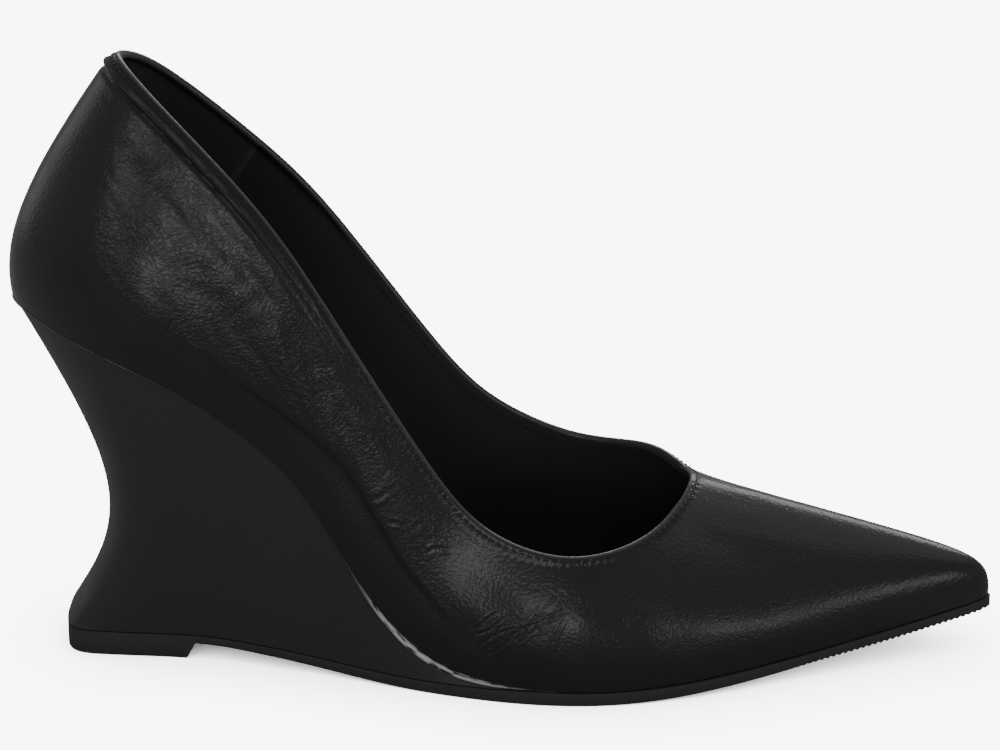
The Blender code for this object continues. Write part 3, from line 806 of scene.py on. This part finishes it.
# Colours across the end of the heel piece: place as a share of LAP_ACROSS_MM, and the colour.
LAP_COLORS = {
    0.470: HEEL_LINING,
    0.485: LAP_LINE,
    0.500: HEEL_LINING,
    0.515: LAP_LINE,
    0.530: LINING_BLACK,
}


def lining_grid(at):
    """Closed profile of the lining, up behind and down its inner face, and mm past the lap."""
    share = np.linspace(1, 0, LINING_ROWS)[:, None]

    def below_top(height):
        return share * (height - LINING_TOP) + LINING_TOP

    face, below, _ = even_rows(at, below_top)
    normal = grid_normals(face)
    past = face[..., 0] + LAP_LEAN * below - HEEL_LAP_X
    lap = LAP_THICK * ease(LAP_EASE, 0, past)
    lean = heel_lean(face[..., 0], below)
    inner = face - normal * (WALL + LINING_PROUD + lap + lean)[..., None]
    behind = face - normal * (SKIN + 0.1 * MM + lean)[..., None]
    return np.concatenate([behind, inner[::-1]]), np.concatenate([past, past[::-1]]) / MM


lining_points, past_lap = lining_grid(np.arange(LINING_COLUMNS) / LINING_COLUMNS * ROUND)
lining_black, _ = leather_material("lining", LINING_BLACK, *LINING_FINISH)
lining = new_piece("lining", lining_points, grid_faces(*lining_points.shape[:2], True), lining_black)
add_mask(lining, "past_lap", past_lap)
lap_tree = lining_black.node_tree
lap_mm = mask_node(lap_tree, "past_lap")
lap_place = math_node(lap_tree, "MULTIPLY_ADD", lap_mm, 1 / LAP_ACROSS_MM, 0.5)
lap_ramp = add_node(lap_tree, "ValToRGB", {0: lap_place})
lap_ends = lap_ramp.color_ramp.elements
lap_ends.remove(lap_ends[1])
lap_ends[0].position = min(LAP_COLORS)
lap_ends[0].color = LAP_COLORS[min(LAP_COLORS)]
for place in sorted(LAP_COLORS)[1:]:
    lap_ends.new(place).color = LAP_COLORS[place]
feed(lining_black, "Base Color", lap_ramp.outputs["Color"])
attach(lining, "root")


# Stitches: two rows of thick black thread right around the collar, one on the turned edge
# outside and one on the lining inside. Each stitch is a short sunk capsule along the edge.
STITCH_BELOW = 1.8 * MM
STITCH_BELOW_INSIDE = 3.0 * MM
STITCH_PITCH = 2.0 * MM
STITCH_LENGTH = 1.45 * MM
THREAD = 0.24 * MM
COLLAR_FINE = 1600
THREAD_BLACK = (0.02, 0.02, 0.021, 1)
THREAD_FINISH = (0.45, 0.0, 0.02)
CAPSULE_RINGS = 6
CAPSULE_TURNS = 8


def capsules(middles, along, normals, length, radius):
    """Closed capsules: rings r sin(t)^0.6 around a line, at half the length times -cos(t)."""
    turn = np.linspace(0, np.pi, CAPSULE_RINGS)
    spin = np.arange(CAPSULE_TURNS) / CAPSULE_TURNS * 2 * np.pi
    across = np.cross(along, normals)
    ring = np.cos(spin)[:, None, None] * across + np.sin(spin)[:, None, None] * normals
    swell = np.sin(turn) ** 0.6
    swell[[0, -1]] = 0.05
    points = middles + ring[None] * (radius * swell)[:, None, None, None]
    points = points - along * (length / 2 * np.cos(turn))[:, None, None, None]
    first = np.arange(len(middles))[:, None, None] * CAPSULE_RINGS * CAPSULE_TURNS
    quads = grid_faces(CAPSULE_RINGS, CAPSULE_TURNS, False) + first
    ends = np.array(tube_faces(CAPSULE_RINGS, CAPSULE_TURNS)[-2:]) + first
    faces = quads.reshape(-1, 4).tolist() + ends.reshape(-1, CAPSULE_TURNS).tolist()
    return points.transpose(2, 0, 1, 3).reshape(-1, 3), faces


def stitch_line(below_distance, inside):
    """Evenly spaced places below the collar, with the directions along it and out of the face."""
    fine = np.arange(COLLAR_FINE) / COLLAR_FINE * ROUND
    near_rows = np.array([[0.5], [0], [-0.5]]) * MM + below_distance
    face, below, above = even_rows(fine, lambda height: near_rows + 0 * height)
    normal = grid_normals(face)[1]
    stand = upper_relief(face, below, above)[1]
    if inside:
        stand = -WALL - LINING_PROUD - heel_lean(face[1, :, 0], below[1])
    path = face[1] + normal * stand[:, None]
    run = np.linalg.norm(np.roll(path, -1, 0) - path, axis=1)
    total = run.sum()
    run = np.concatenate([[0], np.cumsum(run)[:-1]])
    count = round(total / STITCH_PITCH)
    pick = np.searchsorted(run, np.arange(count) / count * total)
    pick = np.clip(pick, 0, len(fine) - 1)
    along = np.roll(path, -1, 0) - np.roll(path, 1, 0)
    along /= np.linalg.norm(along, axis=1, keepdims=True)
    return path[pick], along[pick], normal[pick]


outer_line = stitch_line(STITCH_BELOW, False)
inner_line = stitch_line(STITCH_BELOW_INSIDE, True)
both_lines = [np.concatenate(pair) for pair in zip(outer_line, inner_line)]
stitch_mesh = capsules(*both_lines, STITCH_LENGTH, THREAD)
thread, _ = leather_material("thread", THREAD_BLACK, *THREAD_FINISH)
stitches = new_piece("collar_stitches", *stitch_mesh, thread)
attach(stitches, "root")


# Outsole: one moulded plate of matte black rubber with the heel's lift in one with it.
# Fine ribs run across the forepart and notch its edge at the toe.
SHANK_THICK = 2.2 * MM
SHANK_RISE = 4.2 * MM
BREAST_SLOPE = 2.2 * MM
TREAD_START = 110 * MM
SOLE_EDGE = 0.5 * MM
RIB_PITCH = 1.5 * MM
RIB_DEPTH = 0.35 * MM
RIB_START = 55 * MM
NOTCH_START = 165 * MM
SOLE_ROUND = 0.5 * MM
TOP_ROUND = 0.4
END_RUN = 12 * MM
END_STATIONS = 24
STATION_STEP = 1.2 * MM
TIP_RUN = 4 * MM
TIP_STATIONS = 20
SOLE_ACROSS = 15
TOP_ACROSS = 7
OUTLINE_FINE = 4000
SEAT_FINE = 400
RUBBER_BLACK = (0.050, 0.050, 0.055, 1)
RUBBER_FINISH = (0.62, 0.0, 0.09)
# Outline of the sole behind the ball: along, fore, lateral, medial, and the wedge's hollow.
FLOOR = np.array(
    [
        (0.000, 0.0, 0.000, 0.000, 1.00),
        (0.009, 0.0, 0.330, 0.330, 0.97),
        (0.085, 0.0, 0.480, 0.480, 0.66),
        (0.240, 0.0, 0.505, 0.500, 0.26),
        (0.400, 0.15, 0.525, 0.480, 0.09),
        (0.570, 0.45, 0.510, 0.440, 0.02),
        (0.775, 0.80, 0.520, 0.455, 0.00),
    ]
)
BALL_X = EDGE[7, 0] * LENGTH - BACK_TO_ORIGIN
BREAST_X = LIFT_LENGTH / 2


def seat_z(x):
    """Height of the last's lower edge at a place along the shoe."""
    side = smooth_ring(LOW_RING, np.linspace(0, KNOTS[11], SEAT_FINE))
    return np.interp(x, side[:, 0], side[:, 2])


def sole_z(x):
    """Underside and top of the outsole: flat lift, slanted breast, cosine shank, tread, toe."""
    shank = BREAST_X + BREAST_SLOPE
    passed = np.clip((x - shank) / (TREAD_START - BACK_TO_ORIGIN - shank), 0, 1)
    under = SHANK_RISE * (0.5 + 0.5 * np.cos(np.pi * passed))
    thick = SHANK_THICK + (SOLE_THICK - SHANK_THICK) * np.clip((x - shank) / (BALL_X - shank), 0, 1)
    fore_thick = np.interp(x, EDGE[:, 0] * LENGTH - BACK_TO_ORIGIN, EDGE[:, 6]) * SOLE_THICK
    fore_top = seat_z(x) - GAP
    top = np.where(x < BALL_X, under + thick, fore_top)
    low = np.where(x < BALL_X, under, np.maximum(fore_top - fore_thick, 0))
    return low * np.clip((x - BREAST_X) / BREAST_SLOPE, 0, 1), top


def floor_ring():
    """The outsole's outline around the shoe: its own behind the ball, the upper's ahead of it."""
    ring = LOW_RING + outward(LOW_RING, KNOTS[:-1]) * SOLE_EDGE
    width = LIFT_WIDTH + (BALL_WIDTH - LIFT_WIDTH) * FLOOR[:, 1]
    x = LIFT_SET + (EDGE[7, 0] * LENGTH - LIFT_SET) * FLOOR[:, 0] - BACK_TO_ORIGIN
    here = np.arange(len(FLOOR))
    ring[-here] = np.stack([x, FLOOR[:, 3] * width, 0 * x], 1)
    ring[here] = np.stack([x, -FLOOR[:, 2] * width, 0 * x], 1)
    return ring


FLOOR_RING = floor_ring()


def outsole_grid():
    """Sections across the sole, each a closed loop: bottom, rounded corners, sides and top."""
    outline = smooth_ring(FLOOR_RING, np.arange(OUTLINE_FINE) / OUTLINE_FINE * ROUND)
    outline = np.roll(outline, -np.argmin(outline[:, 0]), 0)
    tip = np.argmax(outline[:, 0])
    start, end = outline[0, 0], outline[tip, 0]
    x = start + END_RUN * np.linspace(0, 1, END_STATIONS) ** 2
    x = np.concatenate([x, np.arange(x[-1] + 1 * MM, RIB_START - 5 * MM, STATION_STEP)])
    x = np.concatenate([x, np.arange(x[-1] + RIB_PITCH / 4, end - TIP_RUN, RIB_PITCH / 4)])
    x = np.concatenate([x, end - (end - x[-1]) * np.linspace(1, 0, TIP_STATIONS)[1:] ** 2])
    x = np.sort(np.concatenate([x, [BREAST_X, BREAST_X + BREAST_SLOPE]]))
    medial = np.vstack([outline[tip:], outline[:1]])[::-1]
    left = np.interp(x, medial[:, 0], medial[:, 1])
    right = np.interp(x, outline[: tip + 1, 0], outline[: tip + 1, 1])
    left[[0, -1]] = right[[0, -1]] = (left + right)[[0, -1]] / 2
    low, top = sole_z(x)
    wave = 0.5 + 0.5 * np.sign(np.sin(2 * np.pi * x / RIB_PITCH))
    rib = RIB_DEPTH * wave * ease(RIB_START, RIB_START + 5 * MM, x) * ease(0, 2 * MM, end - x)
    notch = rib * ease(NOTCH_START, NOTCH_START + 15 * MM, x)
    half = (left - right) / 2
    middle = (left + right) / 2
    corner = np.minimum(SOLE_ROUND, half * 0.5)
    bevel = corner * TOP_ROUND

    def arc(side, radius, base, degrees):
        """Places on a rounded corner, at angles up from level."""
        turns = np.radians(degrees)
        reach = half - radius
        return [(middle + side * (reach + radius * np.cos(a)), base + radius * np.sin(a)) for a in turns]

    loop = []
    for share in np.linspace(-1, 1, SOLE_ACROSS):
        loop.append((middle + share * (half - corner), low + (rib if abs(share) < 0.9 else notch)))
    loop += arc(1, corner, low + notch + corner, (-60, -30, 0))
    loop += arc(1, bevel, top - bevel, (0, 45))
    for share in np.linspace(1, -1, TOP_ACROSS):
        loop.append((middle + share * (half - corner * 0.6), top))
    loop += arc(-1, bevel, top - bevel, (45, 0))
    loop += arc(-1, corner, low + notch + corner, (0, -30, -60))
    return np.stack([np.stack([x, y, z], 1) for y, z in loop], 1)


sole_points = outsole_grid()
sole_faces = tube_faces(*sole_points.shape[:2], flip=True)
rubber, _ = leather_material("outsole_rubber", RUBBER_BLACK, *RUBBER_FINISH)
outsole = new_piece("outsole_rubber", sole_points, sole_faces, rubber, 30)
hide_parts("outsole")
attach(outsole, "root")


# Wedge: a light core wrapped in smooth satin leather, hollowed at the back.
# The wrap is turned over the core's top edge, under the upper.
HOLLOW_LOW_ON = 0.25
HOLLOW_HIGH_ON = 0.26
HOLLOW_HIGH_DOWN = 0.21
WEDGE_TUCK = 0.4 * MM
WEDGE_FRONT = 0.5 * MM
WEDGE_ROWS = 60
WEDGE_COLUMNS = 150
WEDGE_FINE = 2000
SATIN_BLACK = (0.045, 0.045, 0.0502, 1)
SATIN_FINISH = (0.46, 0.05, 0.09)


def wedge_face(at, v):
    """The wedge's side: a cubic arc from the sole's outline up to the last's lower edge.

    Its two handles are moved forward, and the upper one down, by shares of the height."""
    head = smooth_ring(LOW_RING, at) - outward(LOW_RING, at) * WEDGE_TUCK
    head[..., 2] = seat_z(head[..., 0]) - GAP
    foot = smooth_ring(FLOOR_RING, at)
    foot[..., 2] = sole_z(foot[..., 0])[1] + GAP
    half = np.zeros(len(EDGE))
    half[: len(FLOOR)] = FLOOR[:, 4]
    hollow = smooth_ring(around(half, half)[:, None], at)
    height = (head[..., 2:] - foot[..., 2:]) * hollow
    low = foot + (head - foot) / 3 + height * (HOLLOW_LOW_ON, 0, 0)
    high = foot + (head - foot) * 2 / 3 + height * (HOLLOW_HIGH_ON, 0, -HOLLOW_HIGH_DOWN)
    v = v[..., None]
    start = (1 - v) ** 3 * foot + 3 * v * (1 - v) ** 2 * low
    return start + 3 * v**2 * (1 - v) * high + v**3 * head


def wedge_places(count):
    """Places around the wedge, from its thin front edge round the back to the other side."""
    fine = np.linspace(0, KNOTS[11], WEDGE_FINE)
    ends = wedge_face(fine[None] * np.ones((2, 1)), np.array([[0.0], [1.0]]) * np.ones(len(fine)))
    end = fine[np.argmax(ends[1, :, 2] - ends[0, :, 2] < WEDGE_FRONT)]
    medial = ROUND - (ROUND - KNOTS[11]) * (end / KNOTS[11]) * np.linspace(0, 1, count)
    return np.concatenate([np.linspace(0, end, count), medial[:0:-1]])


def ring_cap(first, count, upward):
    """Face over a ring with an odd number of points: a triangle at its start, then rungs across."""
    k = np.arange(1, count // 2)
    rungs = np.stack([k, k + 1, count - k - 1, count - k], 1).tolist()
    faces = [[first + corner for corner in rung] for rung in [[0, 1, count - 1]] + rungs]
    return faces if upward else [face[::-1] for face in faces]


wedge_at = wedge_places(WEDGE_COLUMNS)
wedge_v = np.linspace(0, 1, WEDGE_ROWS)[:, None] * np.ones(len(wedge_at))
wedge_points = wedge_face(wedge_at[None] * np.ones_like(wedge_v), wedge_v)
wedge_count = len(wedge_at)
wedge_faces = grid_faces(WEDGE_ROWS, wedge_count, False).tolist()
wedge_faces += ring_cap(0, wedge_count, False)
wedge_faces += ring_cap((WEDGE_ROWS - 1) * wedge_count, wedge_count, True)
wedge_leather, _ = leather_material("wedge_leather", SATIN_BLACK, *SATIN_FINISH)
wedge = new_piece("wedge_leather", wedge_points, wedge_faces, wedge_leather)
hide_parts("wedge")
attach(wedge, "root")


# Piping: a glossy turned strip of leather in the joint between the upper and the wedge.
# It shows as a thin line at the heel and widens on the slope down to the ball. There light grey streaks
# are painted into its colour as a highlight.
PIPE_PAST = 12 * MM
# Each row: x, radius, and how far its middle stands out of the joint, in mm.
PIPE_SIZES = np.array(
    [
        (-30, 0.40, -0.20),
        (18, 0.38, -0.20),
        (30, 0.26, -0.30),
        (57, 0.26, -0.32),
        (66, 0.62, 0.05),
        (73, 0.80, 0.16),
        (84, 0.80, 0.16),
        (96, 0.45, 0.00),
        (104, 0.12, -0.06),
        (240, 0.12, -0.06),
    ]
)
PIPE_FINISH = (0.16, 0.8, 0.02)
# Light grey of the painted highlight streaks on the piping.
PIPE_HIGHLIGHT_GREY = (0.78, 0.78, 0.79, 1)
PIPE_TURN = 14
PIPE_COLUMNS = 700
PIPE_SUNK = 0.8
SHINE_FROM = (58 * MM, 70 * MM)
SHINE_TO = (92 * MM, 106 * MM)
STREAK_SHARES = (0.22, 3.5)


def piping_grid():
    """A tube along the last's lower edge, its radius and its stand-out read from x."""
    end, other = wedge_at[WEDGE_COLUMNS - 1], wedge_at[WEDGE_COLUMNS] - ROUND
    at = np.linspace(other - PIPE_PAST, end + PIPE_PAST, PIPE_COLUMNS)
    edge = smooth_ring(LOW_RING, at)
    radius = np.interp(edge[:, 0] / MM, PIPE_SIZES[:, 0], PIPE_SIZES[:, 1]) * MM
    outset = np.interp(edge[:, 0] / MM, PIPE_SIZES[:, 0], PIPE_SIZES[:, 2]) * MM
    out = outward(LOW_RING, at)
    run = np.gradient(edge, axis=0)
    run /= np.linalg.norm(run, axis=1, keepdims=True)
    up = np.cross(out, run)
    up *= np.sign(up[:, 2:])
    middle = edge + out * outset[:, None] - up * (radius * PIPE_SUNK)[:, None]
    turn = np.arange(PIPE_TURN) / PIPE_TURN * 2 * np.pi
    ring = np.cos(turn)[:, None, None] * out + np.sin(turn)[:, None, None] * up
    return (middle + ring * radius[:, None]).transpose(1, 0, 2)


pipe_points = piping_grid()
pipe_faces = tube_faces(PIPE_COLUMNS, PIPE_TURN)
piping_leather, _ = leather_material("piping_leather", BLACK, *PIPE_FINISH)
piping = new_piece("piping", pipe_points, pipe_faces, piping_leather)
pipe_x = pipe_points[..., 0]
pipe_step = np.linalg.norm(np.diff(pipe_points[:, 0], axis=0), axis=1) / MM
pipe_length = np.concatenate([[0], np.cumsum(pipe_step)])[:, None] * np.ones(PIPE_TURN)
pipe_round = np.abs(np.linspace(-1, 1, PIPE_TURN)) * np.ones_like(pipe_length)
add_mask(piping, "run_mm", pipe_length)
add_mask(piping, "turn", STREAK_SHARES[1] * pipe_round)
add_mask(piping, "painted_highlight_zone", ease(*SHINE_FROM, pipe_x) * ease(*SHINE_TO[::-1], pipe_x))
pipe_tree = piping_leather.node_tree
pipe_run = math_node(pipe_tree, "MULTIPLY", mask_node(pipe_tree, "run_mm"), STREAK_SHARES[0])
pipe_place = {"X": pipe_run, "Y": mask_node(pipe_tree, "turn")}
pipe_place = add_node(pipe_tree, "CombineXYZ", pipe_place).outputs[0]
streaks = {"Vector": pipe_place, "Scale": 1.0, "Detail": 3.0}
streaks = add_node(pipe_tree, "TexNoise", streaks).outputs[0]
sharper = {"Value": streaks, "From Min": 0.40, "From Max": 0.52}
sharper = add_node(pipe_tree, "MapRange", sharper).outputs[0]
# Painted highlight: streaks of light grey mixed into the black, only within the zone on the slope.
painted_highlight = math_node(pipe_tree, "MULTIPLY", sharper, mask_node(pipe_tree, "painted_highlight_zone"))
feed(piping_leather, "Base Color", mix_node(pipe_tree, painted_highlight, BLACK, PIPE_HIGHLIGHT_GREY))
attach(piping, "root")


# Insole: a board covered with plain black leather, padded and slightly crowned at the heel.
# It lies inside the upper, from the back to near the tip.
INSOLE_THICK = 2.4 * MM
INSOLE_PLAY = 0.5 * MM
INSOLE_ACROSS = 20
INSOLE_ALONG = 160
INSOLE_BLUNT = 5 * MM
INSOLE_CROWN = 0.8 * MM
INSOLE_EDGE_DROP = 0.5 * MM
INSOLE_LIFT = 0.2 * MM
INSOLE_FINE = 3000
INSOLE_FINISH = (0.5, 0.0, 0.03)


def insole_grid():
    """Rungs between the two inset edges, each a loop: crowned top, round edges, flat bottom."""
    at = np.arange(INSOLE_FINE) / INSOLE_FINE * ROUND
    outline = smooth_ring(LOW_RING, at) - outward(LOW_RING, at) * (WALL + INSOLE_PLAY)
    outline = np.roll(outline, -np.argmin(outline[:, 0]), 0)
    tip = np.argmax(outline[:, 0])
    right = outline[: tip + 1]
    left = np.vstack([outline[tip:], outline[:1]])[::-1]
    width = np.interp(right[:, 0], left[:, 0], left[:, 1]) - right[:, 1]
    start, end = right[0, 0], right[width > INSOLE_BLUNT, 0].max()
    share = np.linspace(0, 1, INSOLE_ALONG)
    x = start + (end - start) * (0.6 * share + 0.4 * (0.5 - 0.5 * np.cos(np.pi * share)))
    y_right = np.interp(x, right[:, 0], right[:, 1])
    y_left = np.interp(x, left[:, 0], left[:, 1])
    y_left[[0, -1]] = y_right[[0, -1]] = (y_left + y_right)[[0, -1]] / 2
    z = seat_z(x)
    middle, half = (y_left + y_right) / 2, (y_left - y_right) / 2
    loop = []
    for across in np.linspace(-1, 1, INSOLE_ACROSS):
        crown = INSOLE_CROWN * (1 - across**2) - INSOLE_EDGE_DROP * np.abs(across) ** 12
        loop.append((middle + across * half, z + INSOLE_THICK + crown))
    for across in np.linspace(1, -1, 7):
        loop.append((middle + across * half, z + INSOLE_LIFT))
    return np.stack([np.stack([x, y, height], 1) for y, height in loop], 1)


insole_points = insole_grid()
insole_faces = tube_faces(*insole_points.shape[:2])
insole_leather, _ = leather_material("insole_leather", LINING_BLACK, *INSOLE_FINISH)
insole = new_piece("insole_leather", insole_points, insole_faces, insole_leather)
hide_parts("insole")
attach(insole, "root")
